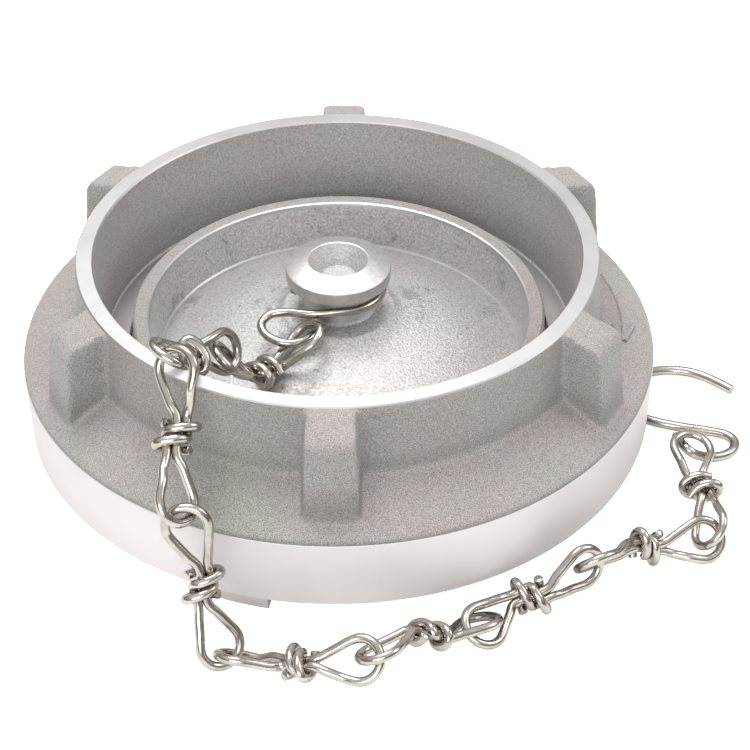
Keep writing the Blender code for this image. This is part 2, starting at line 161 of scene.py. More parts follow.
# Lay of the chain, as in the part's source
LINK_LAY = (
    (-20.0, -29.9, 15.2, -139, 19, -178, -35, -49, -32),
    (-36.2, -49.5, 35.7, -90, 47, 118, 54, -40, 23),
    (-38.3, -77.7, 32.2, -87, -36, -6, -74, 18, -2),
    (-32.0, -97.8, 0.3, -59, -62, 14, -31, 11, 0),
    (-7.9, -109.5, -15.1, -13, 29, 1, 80, 31, -17),
    (24.8, -101.8, -12.8, 22, -33, -37, 4, -34, 27),
    (51.9, -84.0, -16.9, 18, 18, 55, 45, 34, -19),
    (84.0, -67.0, -15.0, 21, -6, 85, -80, 11, 8),
    (102.1, -42.1, -16.1, 85, -12, 157, 61, 18, -23),
)
NECK_HOOK_EYE = (
    (-4.6, -12.9, 22.8), (-9.4, -12.2, 22.2), (-14.2, -10.6, 21.6), (-19.1, -10.9, 20.9),
    (-21.4, -14.4, 20.0), (-19.5, -18.5, 19.1), (-14.6, -21.0, 18.4), (-9.5, -19.5, 18.1),
    (-5.6, -15.2, 18.1), (-4.0, -12.2, 18.2),
)
END_HOOK_LAY = (
    (98.7, -16.2, -18.8), (100.5, -23.3, -17.3), (104.0, -24.4, -19.1), (109.4, -24.2, -19.9),
    (114.1, -21.6, -20.2), (115.9, -17.5, -20.2), (113.8, -13.9, -20.2), (107.9, -11.9, -20.2),
    (101.1, -10.3, -20.2), (92.8, -7.5, -20.2), (87.3, -3.8, -20.2), (84.2, 1.5, -20.2),
    (84.2, 6.8, -20.2), (87.4, 11.7, -20.2), (93.3, 15.5, -20.2), (98.7, 17.0, -20.2),
    (104.9, 16.8, -20.2), (110.1, 14.8, -20.2), (114.6, 11.4, -20.2), (118.8, 7.4, -20.2),
)


def linked(obj):
    bpy.context.scene.collection.objects.link(obj)
    return obj


def mesh_object(name, verts, faces, slots=None):
    """Make a smooth object from millimetre vertices, with a material slot for each face."""
    mesh = bpy.data.meshes.new(name)
    mesh.from_pydata([(x * MM, y * MM, z * MM) for x, y, z in verts], [], faces)
    if slots:
        mesh.polygons.foreach_set("material_index", slots)
    work = bmesh.new()
    work.from_mesh(mesh)
    bmesh.ops.recalc_face_normals(work, faces=work.faces)
    work.to_mesh(mesh)
    work.free()
    smooth_faces(mesh)
    return linked(bpy.data.objects.new(name, mesh))


def smooth_faces(mesh):
    mesh.polygons.foreach_set("use_smooth", [True] * len(mesh.polygons))


def revolve(name, profile):
    """Revolve (radius, z, slot) points; slot is the material of the face to the next point."""
    verts, rings, faces, slots = [], [], [], []
    for radius, z, _slot in profile:
        if radius == 0:
            rings.append([len(verts)] * RING_STEPS)
            verts.append((0, 0, z))
            continue
        rings.append(range(len(verts), len(verts) + RING_STEPS))
        for step in range(RING_STEPS):
            angle = 2 * math.pi * step / RING_STEPS
            verts.append((radius * math.cos(angle), radius * math.sin(angle), z))
    for n, (low, high) in enumerate(zip(rings, rings[1:] + rings[:1])):
        for step in range(RING_STEPS):
            after = (step + 1) % RING_STEPS
            corners = [low[step], low[after], high[after], high[step]]
            face = [c for k, c in enumerate(corners) if c not in corners[:k]]
            if len(face) > 2:
                faces.append(face)
                slots.append(profile[n][2])
    obj = mesh_object(name, verts, faces, slots)
    mark_sharp(obj, CREASE)
    return obj


def mark_sharp(obj, degrees):
    obj.data.set_sharp_from_angle(angle=math.radians(degrees))


def sector(name, sections):
    """Join outlines of (radius, z) points, one at each angle, into a solid part of a ring."""
    verts = []
    size = len(sections[0][1])
    for degrees, outline in sections:
        angle = math.radians(degrees)
        verts += [(r * math.cos(angle), r * math.sin(angle), z) for r, z in outline]
    faces = [list(range(size)), list(range(len(verts) - size, len(verts)))]
    for start in range(0, len(verts) - size, size):
        for n in range(size):
            m = (n + 1) % size
            faces.append([start + n, start + m, start + size + m, start + size + n])
    return mesh_object(name, verts, faces)


def smooth_path(stations, spacing):
    """Points of a smooth curve through the stations, about a spacing apart."""
    path = [Vector(p) for p in stations]
    path = [path[0] * 2 - path[1]] + path + [path[-1] * 2 - path[-2]]
    points = []
    for a, b, c, d in zip(path, path[1:], path[2:], path[3:]):
        steps = max(1, round((c - b).length / spacing))
        for n in range(steps):
            t = n / steps
            bend = (a * 2 - b * 5 + c * 4 - d) * t * t + (b * 3 - a - c * 3 + d) * t ** 3
            points.append((b * 2 + (c - a) * t + bend) / 2)
    points.append(path[-2])
    return points


def wire(name, points, radius):
    """A round wire with slightly rounded, cut ends."""
    centres = [Vector(p) for p in points]
    first = (centres[1] - centres[0]).normalized() * WIRE_END
    last = (centres[-1] - centres[-2]).normalized() * WIRE_END
    start = [centres[0], centres[0] + first]
    end = [centres[-1] - last, centres[-1]]
    centres = start + centres[1:-1] + end
    radii = [radius] * len(centres)
    radii[0] = radii[-1] = radius * WIRE_END_SHARE
    sides = WIRE_SIDES
    verts, side = [], None
    for n, centre in enumerate(centres):
        before = centres[max(0, n - 1)]
        after = centres[min(len(centres) - 1, n + 1)]
        along = (after - before).normalized()
        side = side or along.orthogonal()
        side = (side - along * side.dot(along)).normalized()
        other = along.cross(side)
        for k in range(sides):
            angle = 2 * math.pi * k / sides
            verts.append(centre + (side * math.cos(angle) + other * math.sin(angle)) * radii[n])
    faces = []
    for n in range(len(centres) - 1):
        for k in range(sides):
            m = (k + 1) % sides
            faces.append([n * sides + k, n * sides + m, (n + 1) * sides + m, (n + 1) * sides + k])
    faces.append(list(range(sides)))
    faces.append(list(range((len(centres) - 1) * sides, len(centres) * sides)))
    obj = mesh_object(name, verts, faces)
    mark_sharp(obj, WIRE_CREASE)
    return obj


def on_line(start, end, share):
    return tuple(a + (b - a) * share for a, b in zip(start, end))


def loop_points():
    """Flat centre line of one loop, from the waist round the loop and back to the waist."""
    middle = LINK_HALF - LOOP_HALF_WIDTH
    out_angle = math.pi - math.acos(LOOP_HALF_WIDTH / (middle - WAIST_X))
    reach = math.hypot(middle - WAIST_X, STRAND_GAP)
    back_angle = -math.pi + math.atan2(STRAND_GAP, middle - WAIST_X)
    back_angle += math.acos(LOOP_HALF_WIDTH / reach)
    arc = []
    for n in range(LOOP_STEPS + 1):
        angle = out_angle + (back_angle - out_angle) * n / LOOP_STEPS
        x = middle + LOOP_HALF_WIDTH * math.cos(angle)
        arc.append((x, LOOP_HALF_WIDTH * math.sin(angle)))
    way_out = [on_line((WAIST_X, 0.0), arc[0], share) for share in (0.0, 0.33, 0.66)]
    way_back = [on_line(arc[-1], (WAIST_X, -STRAND_GAP), share) for share in (0.34, 0.67, 1.0)]
    return way_out + arc + way_back


def half_link(roll, bend):
    """One loop, rolled and bent at the waist, and its end wound round the link's middle."""
    points = [Vector((0, 0, 0))]
    up = Matrix.Rotation(math.radians(-bend), 3, "Y")
    for x, y in loop_points():
        run = min(1.0, (x - WAIST_X) / TWIST_LENGTH)
        turn = Matrix.Rotation(math.radians(roll) * run, 3, "X")
        axis = Vector((0, -STRAND_GAP / 2 * (1 - run), 0))
        flat = turn @ (Vector((0, y, 0)) - axis) + axis
        points.append(up @ Vector((x - WAIST_X, flat.y, flat.z)) + Vector((WAIST_X, 0, 0)))
    points += [Vector((x, -STRAND_GAP, z)) for x, z in KNOT_LEAD_IN]
    for n in range(KNOT_STEPS + 1):
        degrees = KNOT_BEGIN + (KNOT_TURN - KNOT_BEGIN) * n / KNOT_STEPS
        angle = math.radians(degrees)
        x = -KNOT_START_X - KNOT_PITCH * (degrees - KNOT_BEGIN) / 360.0
        y = STRAND_GAP * (0.5 - 1.5 * math.cos(angle))
        points.append(Vector((x, y, STRAND_GAP * math.sin(angle))))
    along = (points[-1] - points[-2]).normalized()
    points.append(points[-1] + along * KNOT_END)
    return points


def link_points(lay):
    """Centre line of a whole link at its place in the chain."""
    x, y, z, heading, climb, roll, twist, rear_bend, front_bend = lay
    front = half_link(twist / 2, front_bend)
    rear = half_link(twist / 2, rear_bend)
    half_turn = Matrix.Rotation(math.pi, 3, "Z")
    whole = [half_turn @ p for p in reversed(rear)] + front[1:]
    pose = Matrix.Rotation(math.radians(heading), 3, "Z")
    pose = pose @ Matrix.Rotation(math.radians(-climb), 3, "Y")
    pose = pose @ Matrix.Rotation(math.radians(roll), 3, "X")
    return [pose @ p + Vector((x, y, z)) for p in whole]


# Materials
WHITE = (1.0, 1.0, 1.0)
BLACK = (0.0, 0.0, 0.0)
FAINT_GREEN = (0.93, 1.0, 0.92)
FAINT_PINK = (1.0, 0.93, 0.92)
# Painted light and shade for the cast grey: walls a little darker and greener, faces turned up lighter
# and pinker, and the foot of walls darker
WALL_TINT_AND_PAINTED_SHADE = (0.97, 0.975, 0.955)
TOP_TINT_AND_PAINTED_LIGHT = (1.13, 1.09, 1.08)
FOOT_PAINTED_SHADE = (0.8, 0.79, 0.78)
PAINTED_SHADE_FOOT_Z = 15.5
PAINTED_SHADE_REACH = 7.5
STAIN_BLEND = 0.06
BROAD_CLOUDS = 28.0
TURNING_MARKS = 2600.0


def nodes_of(name):
    material = bpy.data.materials.new(name)
    material.use_nodes = True
    tree = material.node_tree
    return material, tree, tree.nodes["Principled BSDF"]


def noise(tree, scale, detail=4.0, rough=0.6):
    coords = tree.nodes.new("ShaderNodeTexCoord")
    node = tree.nodes.new("ShaderNodeTexNoise")
    node.inputs["Scale"].default_value = scale
    node.inputs["Detail"].default_value = detail
    node.inputs["Roughness"].default_value = rough
    tree.links.new(coords.outputs["Object"], node.inputs["Vector"])
    return node.outputs["Fac"]


def ramp(tree, source, stops):
    node = tree.nodes.new("ShaderNodeValToRGB")
    while len(node.color_ramp.elements) < len(stops):
        node.color_ramp.elements.new(0.5)
    for element, (place, colour) in zip(node.color_ramp.elements, stops):
        element.position = place
        element.color = colour + (1.0,)
    tree.links.new(source, node.inputs["Fac"])
    return node.outputs["Color"]


def mix(tree, fac, a, b, blend="MIX"):
    node = tree.nodes.new("ShaderNodeMix")
    node.data_type = "RGBA"
    node.blend_type = blend
    for value, socket in ((fac, node.inputs[0]), (a, node.inputs[6]), (b, node.inputs[7])):
        if isinstance(value, (int, float)):
            socket.default_value = value
        elif isinstance(value, tuple):
            socket.default_value = value + (1.0,)
        else:
            tree.links.new(value, socket)
    return node.outputs[2]


def bump(tree, shader, height, strength, distance):
    """Relief from a height, with the distance in metres."""
    node = tree.nodes.new("ShaderNodeBump")
    node.inputs["Strength"].default_value = strength
    node.inputs["Distance"].default_value = distance
    tree.links.new(height, node.inputs["Height"])
    tree.links.new(node.outputs["Normal"], shader.inputs["Normal"])


def finish_of(shader, rough, metal):
    shader.inputs["Roughness"].default_value = rough
    shader.inputs["Metallic"].default_value = metal


def split_axes(tree, source):
    node = tree.nodes.new("ShaderNodeSeparateXYZ")
    tree.links.new(source, node.inputs[0])
    return node.outputs


def cast_material(name, dark, light, rough, metal, grain, strength, tint):
    """Cast metal: fine grain in colour and relief, with faint green and pink areas."""
    material, tree, shader = nodes_of(name)
    fine = noise(tree, grain, 3.0, 0.7)
    broad = noise(tree, BROAD_CLOUDS, 3.0, 0.6)
    base = ramp(tree, fine, [(0.32, dark), (0.68, light)])
    hue = ramp(tree, broad, [(0.38, FAINT_GREEN), (0.5, WHITE), (0.62, FAINT_PINK)])
    tinted = mix(tree, tint, base, mix(tree, 1.0, base, hue, "MULTIPLY"))
    tree.links.new(tinted, shader.inputs["Base Color"])
    finish_of(shader, rough, metal)
    bump(tree, shader, fine, strength, 0.0004)
    return material


def stained(material, scale, dark, reach):
    """Add dark spots, as of old grime, to the colour of a material."""
    tree = material.node_tree
    shader = tree.nodes["Principled BSDF"]
    colour = shader.inputs["Base Color"].links[0].from_socket
    spots = ramp(tree, noise(tree, scale, 5.0, 0.75), [(reach - STAIN_BLEND, dark), (reach, WHITE)])
    tree.links.new(mix(tree, 1.0, colour, spots, "MULTIPLY"), shader.inputs["Base Color"])


def painted_light_and_shade(material):
    """Paint light, with a pink tint, on what faces up, and paint shade at the foot of upright walls."""
    tree = material.node_tree
    shader = tree.nodes["Principled BSDF"]
    colour = shader.inputs["Base Color"].links[0].from_socket
    normal = tree.nodes.new("ShaderNodeNewGeometry").outputs["Normal"]
    facing = split_axes(tree, normal)["Z"]
    # Painted light: lighter and pinker as the face turns up, a little darker and greener on walls
    facing_light = ramp(tree, facing, [(0.15, WALL_TINT_AND_PAINTED_SHADE), (0.6, TOP_TINT_AND_PAINTED_LIGHT)])
    upright = ramp(tree, facing, [(0.1, WHITE), (0.55, BLACK)])
    place = split_axes(tree, tree.nodes.new("ShaderNodeTexCoord").outputs["Object"])
    height = tree.nodes.new("ShaderNodeMapRange")
    height.inputs["From Min"].default_value = PAINTED_SHADE_FOOT_Z * MM
    height.inputs["From Max"].default_value = (PAINTED_SHADE_FOOT_Z + PAINTED_SHADE_REACH) * MM
    tree.links.new(place["Z"], height.inputs["Value"])
    # Painted shade at the foot of upright walls, fading out with height
    foot_shade = ramp(tree, height.outputs["Result"], [(0.0, FOOT_PAINTED_SHADE), (1.0, WHITE)])
    base = mix(tree, upright, WHITE, foot_shade)
    colour = mix(tree, 1.0, mix(tree, 1.0, colour, facing_light, "MULTIPLY"), base, "MULTIPLY")
    tree.links.new(colour, shader.inputs["Base Color"])


def machined_material(name, colour, rough, relief=0.08, clouds=60.0, metal=1.0):
    """Turned metal: very fine rings round the axis, under soft clouds of tone."""
    material, tree, shader = nodes_of(name)
    coords = tree.nodes.new("ShaderNodeTexCoord")
    place = split_axes(tree, coords.outputs["Object"])
    across = tree.nodes.new("ShaderNodeCombineXYZ")
    radius = tree.nodes.new("ShaderNodeVectorMath")
    radius.operation = "LENGTH"
    tree.links.new(place["X"], across.inputs["X"])
    tree.links.new(place["Y"], across.inputs["Y"])
    tree.links.new(across.outputs[0], radius.inputs[0])
    lines = tree.nodes.new("ShaderNodeCombineXYZ")
    tree.links.new(radius.outputs["Value"], lines.inputs["X"])
    tree.links.new(place["Z"], lines.inputs["Y"])
    grooves = tree.nodes.new("ShaderNodeTexNoise")
    grooves.inputs["Scale"].default_value = TURNING_MARKS
    grooves.inputs["Detail"].default_value = 2.0
    tree.links.new(lines.outputs[0], grooves.inputs["Vector"])
    low = tuple(c * 0.9 for c in colour)
    tone = ramp(tree, noise(tree, clouds, 3.0, 0.55), [(0.35, low), (0.65, colour)])
    tree.links.new(tone, shader.inputs["Base Color"])
    finish_of(shader, rough, metal)
    bump(tree, shader, grooves.outputs["Fac"], relief, 0.0002)
    return material


def wire_material(name):
    material, tree, shader = nodes_of(name)
    steel = [(0.3, (0.36, 0.33, 0.295)), (0.7, (0.58, 0.545, 0.505))]
    tree.links.new(ramp(tree, noise(tree, 160.0, 3.0, 0.6), steel), shader.inputs["Base Color"])
    finish_of(shader, 0.2, 1.0)
    bump(tree, shader, noise(tree, 900.0, 3.0, 0.6), 0.06, 0.0003)
    return material


def rubber_material(name):
    material, tree, shader = nodes_of(name)
    grain = noise(tree, 1200.0)
    rubber = [(0.3, (0.018, 0.018, 0.018)), (0.7, (0.035, 0.035, 0.035))]
    tree.links.new(ramp(tree, grain, rubber), shader.inputs["Base Color"])
    finish_of(shader, 0.6, 0.0)
    bump(tree, shader, grain, 0.2, 0.0002)
    return material


CAST = cast_material(
    "cast_grey", dark=(0.165, 0.160, 0.155), light=(0.56, 0.545, 0.53),
    rough=0.6, metal=0.5, grain=3600.0, strength=0.9, tint=0.5,
)
# The cast metal made lighter for the collar's inner wall and the hub's bore: its own colour with
# painted light
CAST_INSIDE_PAINTED_LIGHT = cast_material(
    "cast_inner_wall_painted_light", dark=(0.32, 0.307, 0.302), light=(0.60, 0.583, 0.573),
    rough=0.55, metal=0.45, grain=2000.0, strength=0.4, tint=0.4,
)
DISH = cast_material(
    "cast_dish", dark=(0.34, 0.328, 0.322), light=(0.665, 0.65, 0.645),
    rough=0.47, metal=0.8, grain=1500.0, strength=0.8, tint=0.3,
)
HUB = cast_material(
    "worn_hub", dark=(0.56, 0.545, 0.535), light=(0.71, 0.69, 0.68),
    rough=0.42, metal=0.9, grain=500.0, strength=0.25, tint=0.3,
)
RIM = machined_material("machined_rim", (0.56, 0.55, 0.545), rough=0.45)
BAND = machined_material(
    "machined_band", (0.71, 0.675, 0.665), rough=0.6, relief=0.05, clouds=14.0, metal=0.5,
)
# The turned metal made darker on the ledge and ring bore, deep between the collar and the cover:
# painted shade
LEDGE_PAINTED_SHADE = machined_material("machined_ledge_painted_shade", (0.36, 0.34, 0.335), rough=0.5)
UNDER = machined_material("machined_under", (0.62, 0.62, 0.62), rough=0.45)
WIRE = wire_material("bright_wire")
RUBBER = rubber_material("seal_rubber_dark")
stained(DISH, 420.0, (0.5, 0.48, 0.47), 0.37)
stained(DISH, 55.0, (0.72, 0.70, 0.69), 0.43)
stained(HUB, 180.0, (0.78, 0.75, 0.73), 0.34)
# Painted light on faces turned up, and painted shade at the foot of walls
painted_light_and_shade(CAST)
stained(CAST, 120.0, (0.82, 0.78, 0.77), 0.35)


def dress(obj, materials, body, node, slot):
    """Give a piece its materials, body and replaced node; the material slot is not used."""
    for material in materials:
        obj.data.materials.append(material)
    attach(obj, body)
    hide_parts(node)
    return obj


def faced(slot, *points):
    """Outline points whose faces, each up to the next point, have one material slot."""
    return [(radius, z, slot) for radius, z in points]


# Locking ring, with the body, node and material slot of its pieces
ON_THE_RING = ("locking_ring", "locking_ring", "ring_cast")


def applied(obj):
    """Apply the modifiers of an object."""
    graph = bpy.context.evaluated_depsgraph_get()
    mesh = bpy.data.meshes.new_from_object(obj.evaluated_get(graph))
    old = obj.data
    obj.modifiers.clear()
    obj.data = mesh
    bpy.data.meshes.remove(old)
    return mesh


def soften(obj, rounds, group=""):
    smooth = obj.modifiers.new("soften", "SMOOTH")
    smooth.factor = 0.5
    smooth.iterations = rounds
    smooth.vertex_group = group


def near_a_lug(x, y, z):
    """True on a lug and round its foot, but not at the rim or the edge of the flange."""
    radius = math.hypot(x, y)
    spacing = 360.0 / LUG_COUNT
    turn = math.degrees(math.atan2(y, x)) + 90.0
    off = (turn + spacing / 2) % spacing - spacing / 2
    beside = abs(math.radians(off)) * radius < SOFT_HALF_WIDTH
    return beside and SOFT_INNER_R < radius < SOFT_OUTER_R and z < SOFT_TOP_Z


def cast_skin(obj):
    """Join the overlapping solids into one skin, with the soft corners of a casting at the lugs."""
    remesh = obj.modifiers.new("skin", "REMESH")
    remesh.mode = "VOXEL"
    remesh.voxel_size = SKIN_VOXEL * MM
    soften(obj, SKIN_ROUNDS)
    mesh = applied(obj)
    lugs = [v.index for v in mesh.vertices if near_a_lug(*(c / MM for c in v.co))]
    obj.vertex_groups.new(name="lugs").add(lugs, 1.0, "REPLACE")
    soften(obj, LUG_ROUNDS, "lugs")
    smooth_faces(applied(obj))
    return obj


def lug_mesh(angle):
    """A lug as points of radius and height, each with the half width that the lug has there."""
    side = [
        (LUG_INNER_R, LUG_FOOT_Z, 7.6), (87.2, LUG_FOOT_Z, 7.6), (85.6, 24.0, 7.1),
        (84.5, 33.4, 6.8), (82.8, 35.6, 6.6), (74.0, LUG_TOP_Z, 6.4), (LUG_INNER_R, LUG_TOP_Z, 6.4),
    ]
    turn = Matrix.Rotation(angle, 3, "Z")
    verts = [turn @ Vector((x, s * half, z)) for s in (1, -1) for x, z, half in side]
    count = len(side)
    faces = [list(range(count)), list(range(count, 2 * count))]
    for n in range(count):
        after = (n + 1) % count
        faces.append([n, after, count + after, count + n])
    return verts, faces


def cone_z(radius):
    return CONE_TOP_Z - (radius - CONE_TOP_R) * CONE_SLOPE


def ring_casting():
    """Collar wall, flange cone and lugs in one cast skin."""
    top = COLLAR_TOP_Z - RIM_EDGE
    wall, foot, cone, edge = COLLAR_OUTER_R, CONE_TOP_R, FLANGE_R - 3.0, FLANGE_R
    outline = faced(
        0,
        (SKIN_INNER_R, top), (wall - 0.3, top), (wall + 0.1, top - RIM_EDGE),
        (wall + 0.5, 29.0), (wall + 1.2, 23.0), (wall + 1.6, 18.6),
        (foot - 1.9, CONE_TOP_Z + 1.3), (foot - 1.2, CONE_TOP_Z + 0.6),
        (foot, CONE_TOP_Z), (cone, cone_z(cone)),
        (edge - 1.7, 9.7), (edge - 0.8, 8.8), (edge - 0.3, 8.0), (edge - 0.15, 7.0),
        (edge - 0.15, SKIN_LOW_Z), (SKIN_INNER_R, SKIN_LOW_Z),
    )
    body = revolve("ring_casting", outline)
    work = bmesh.new()
    work.from_mesh(body.data)
    for n in range(LUG_COUNT):
        verts, faces = lug_mesh(math.radians(360.0 * n / LUG_COUNT - 90))
        made = [work.verts.new(v * MM) for v in verts]
        for face in faces:
            work.faces.new([made[k] for k in face])
    bmesh.ops.recalc_face_normals(work, faces=work.faces)
    work.to_mesh(body.data)
    work.free()
    return cast_skin(body)


def ring_machined():
    """Rim, band, skirt, cam flange, bore, ledge and inner wall, with a core under the casting."""
    rim, wall, ledge, band, under = range(5)
    top, edge, cam = COLLAR_TOP_Z, FLANGE_R, CAM_OUTER_R
    outline = faced(rim, (COLLAR_BORE_R + 0.45, top), (COLLAR_OUTER_R - RIM_EDGE, top))
    outline += faced(
        under,
        (COLLAR_OUTER_R, top - RIM_EDGE), (COLLAR_OUTER_R - 0.5, 36.5), (COLLAR_OUTER_R - 0.5, 22.0),
        (76.0, 12.0), (edge - 1.0, 6.2),
    )
    outline += faced(band, (edge - 0.3, FLANGE_EDGE_Z + 0.3), (edge, FLANGE_EDGE_Z), (edge, BAND_LOW_Z))
    outline += faced(
        under,
        (edge - 0.8, BAND_BOTTOM_Z), (SKIRT_INNER_R, BAND_BOTTOM_Z),
        (SKIRT_INNER_R, 1.5), (SKIRT_INNER_R - 1.5, WEB_Z),
        (66.0, WEB_Z), (66.0, CAM_BACK_Z), (cam - 0.6, CAM_BACK_Z), (cam, CAM_BACK_Z - 0.6),
        (cam, SEAL_PLANE_Z + 0.6), (cam - 0.6, SEAL_PLANE_Z),
        (CAM_INNER_R + 0.5, SEAL_PLANE_Z), (CAM_INNER_R, SEAL_PLANE_Z + 0.5), (CAM_INNER_R, -6.5),
    )
    outline += faced(ledge, (RING_BORE_R, -6.5))
    outline += faced(
        under,
        (RING_BORE_R, GROOVE_LOW_Z), (GROOVE_RING_R, GROOVE_LOW_Z), (GROOVE_RING_R, GROOVE_HIGH_Z),
    )
    outline += faced(
        ledge,
        (RING_BORE_R, GROOVE_HIGH_Z), (RING_BORE_R, LEDGE_Z - 0.4), (RING_BORE_R + 0.4, LEDGE_Z),
    )
    outline += faced(wall, (66.9, LEDGE_Z), (67.4, LEDGE_Z + 0.5), (67.9, 24.0))
    outline += faced(rim, (COLLAR_BORE_R, top - 0.45))
    return revolve("ring_machined", outline)


def claw(name, start):
    """A claw's stem, with its sloping end, and the lip that grips the other half."""
    stem, lip = [], []
    for n in range(CLAW_STEPS + 1):
        turned = CLAW_ANGLE * n / CLAW_STEPS
        rise = max(0.0, (turned - CLAW_FLAT) / CLAW_FLAT)
        foot = CLAW_BOTTOM_Z + (CLAW_RUN_OUT_Z - CLAW_BOTTOM_Z) * rise
        stem.append((start - turned, [
            (CLAW_INNER_R, foot), (CLAW_OUTER_R - 0.4, foot), (CLAW_OUTER_R, foot + 0.4),
            (CLAW_OUTER_R, -12.8), (CLAW_OUTER_R + 2.0, -12.8),
            (CLAW_OUTER_R + 2.0, WEB_Z + 0.5), (CLAW_INNER_R, WEB_Z + 0.5),
        ]))
        lip.append((start - 0.15 - CLAW_LIP_ANGLE * n / CLAW_STEPS, [
            (CLAW_LIP_R, CLAW_BOTTOM_Z + 1.2), (CLAW_LIP_R + 1.2, CLAW_BOTTOM_Z + 0.1),
            (CLAW_INNER_R + 1.0, CLAW_BOTTOM_Z + 0.1), (CLAW_INNER_R + 1.0, CLAW_LIP_TOP_Z),
            (CLAW_LIP_R, CLAW_LIP_TOP_Z),
        ]))
    return [sector(name + "_stem", stem), sector(name + "_lip", lip)]


def on_cone(radius, degrees):
    """A point on the cone of the flange, for the middle of an arrow's stroke."""
    angle = math.radians(degrees)
    return (radius * math.cos(angle), radius * math.sin(angle), cone_z(radius) + ARROW_LIFT)


def arrow_strokes():
    """A plain turning arrow: a curved shaft and a head of two strokes."""
    shaft = [on_cone(*place) for place in ARROW_SHAFT]
    return [shaft] + [[on_cone(*place), shaft[-1]] for place in ARROW_BARBS]


def build_locking_ring():
    dress(ring_casting(), [CAST], *ON_THE_RING)
    dress(ring_machined(), [RIM, CAST_INSIDE_PAINTED_LIGHT, LEDGE_PAINTED_SHADE, BAND, UNDER], *ON_THE_RING)
    for index in range(CLAW_COUNT):
        for piece in claw("claw_%d" % index, CLAW_START + 360.0 / CLAW_COUNT * index):
            mark_sharp(piece, CUT_CREASE)
            dress(piece, [BAND], *ON_THE_RING)


def build_arrow():
    for number, stroke in enumerate(arrow_strokes()):
        piece = wire("turn_arrow_%d" % number, smooth_path(stroke, ARROW_SPACING), ARROW_R)
        dress(piece, [CAST], *ON_THE_RING)


# Cover
def cover_outline():
    dish, rim, hub, under, edge, pedestal, bore = range(7)
    bored = faced(bore, (0, 26.6), (4.6, 26.6), (5.1, 26.9), (8.35, HEAD_TOP_Z - 0.25))
    head = faced(
        hub,
        (8.45, HEAD_TOP_Z - 0.1), (8.7, HEAD_TOP_Z), (HEAD_R - 0.5, 30.7), (HEAD_R - 0.1, 30.4),
        (HEAD_R, 30.0), (HEAD_R, HEAD_LOW_Z + 0.4), (HEAD_R - 0.4, HEAD_LOW_Z),
        (NECK_R + 0.4, HEAD_LOW_Z), (NECK_R, HEAD_LOW_Z - 0.4),
    )
    foot = faced(
        pedestal,
        (NECK_R, PEDESTAL_Z + 0.8), (NECK_R + 0.6, PEDESTAL_Z + 0.1), (NECK_R + 1.4, PEDESTAL_Z),
        (15.4, PEDESTAL_Z), (16.2, PEDESTAL_Z - 0.3),
    )
    bowl = faced(
        dish,
        (17.0, 15.3), (18.6, 14.7), (21.6, 14.0), (30.0, 11.8), (36.0, 9.6), (42.0, 7.0),
        (47.0, 4.7), (50.3, 3.25),
    )
    bowl += faced(edge, (51.4, 2.7), (52.1, 2.5)) + faced(dish, (52.5, 3.0))
    bowl += faced(edge, (54.2, 15.4), (54.6, COVER_RIM_Z - 0.3))
    outside = faced(
        rim,
        (55.1, COVER_RIM_Z), (COVER_RIM_R - 0.7, COVER_RIM_Z), (COVER_RIM_R, COVER_RIM_Z - 0.7),
        (COVER_RIM_R, 9.3),
    )
    groove = faced(
        under,
        (COVER_BODY_R, LEDGE_Z), (COVER_BODY_R, GROOVE_HIGH_Z), (GROOVE_COVER_R, GROOVE_HIGH_Z),
        (GROOVE_COVER_R, GROOVE_LOW_Z), (COVER_BODY_R, GROOVE_LOW_Z),
    )
    mating = faced(
        under,
        (COVER_BODY_R, SHOULDER_Z), (SHOULDER_R, SHOULDER_Z), (SHOULDER_R, SEAL_PLANE_Z + 0.4),
        (SHOULDER_R - 0.4, SEAL_PLANE_Z), (SEAL_OUTER_R, SEAL_PLANE_Z), (SEAL_OUTER_R, SEAL_GROOVE_Z),
        (SEAL_INNER_R, SEAL_GROOVE_Z), (SEAL_INNER_R, SEAL_PLANE_Z), (47.6, SEAL_PLANE_Z),
    )
    recess = faced(
        under,
        (46.0, -3.0), (30.0, 4.0), (20.0, 7.4), (17.0, 6.6), (15.6, 0.6), (15.0, 0.0), (0, 0.0),
    )
    return bored + head + foot + bowl + outside + groove + mating + recess


def build_cover():
    materials = [DISH, CAST, HUB, UNDER, RIM, DISH, CAST_INSIDE_PAINTED_LIGHT]
    cover = revolve("cover_plate_fine", cover_outline())
    dress(cover, materials, "cover", "cover_plate", "cover_cast")
    for node, material in (("face_seal", RUBBER), ("retaining_ring", WIRE)):
        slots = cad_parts[node].data.materials
        slots.clear()
        slots.append(material)


# Chain
def neck_hook_points():
    """Centre line of the hook, round the hub's neck and then round its eye."""
    points = []
    for n in range(NECK_HOOK_STEPS + 1):
        share = n / NECK_HOOK_STEPS
        angle = math.radians(NECK_HOOK_START - NECK_HOOK_SWEEP * share)
        z = NECK_HOOK_Z + NECK_HOOK_RISE * share
        points.append((NECK_HOOK_R * math.cos(angle), NECK_HOOK_R * math.sin(angle), z))
    return points + list(NECK_HOOK_EYE)


def build_chain():
    hook = wire("neck_hook_wire", smooth_path(neck_hook_points(), HOOK_SPACING), WIRE_R)
    dress(hook, [WIRE], "neck_hook", "neck_hook", "chain_steel")
    for n, lay in enumerate(LINK_LAY):
        node = "chain_link_%02d" % (n + 1)
        link = wire(node + "_wire", smooth_path(link_points(lay), LINK_SPACING), WIRE_R)
        dress(link, [WIRE], node, node, "chain_steel")
    hook = wire("end_hook_wire", smooth_path(END_HOOK_LAY, HOOK_SPACING), END_HOOK_WIRE_R)
    dress(hook, [WIRE], "end_hook", "end_hook", "chain_steel")


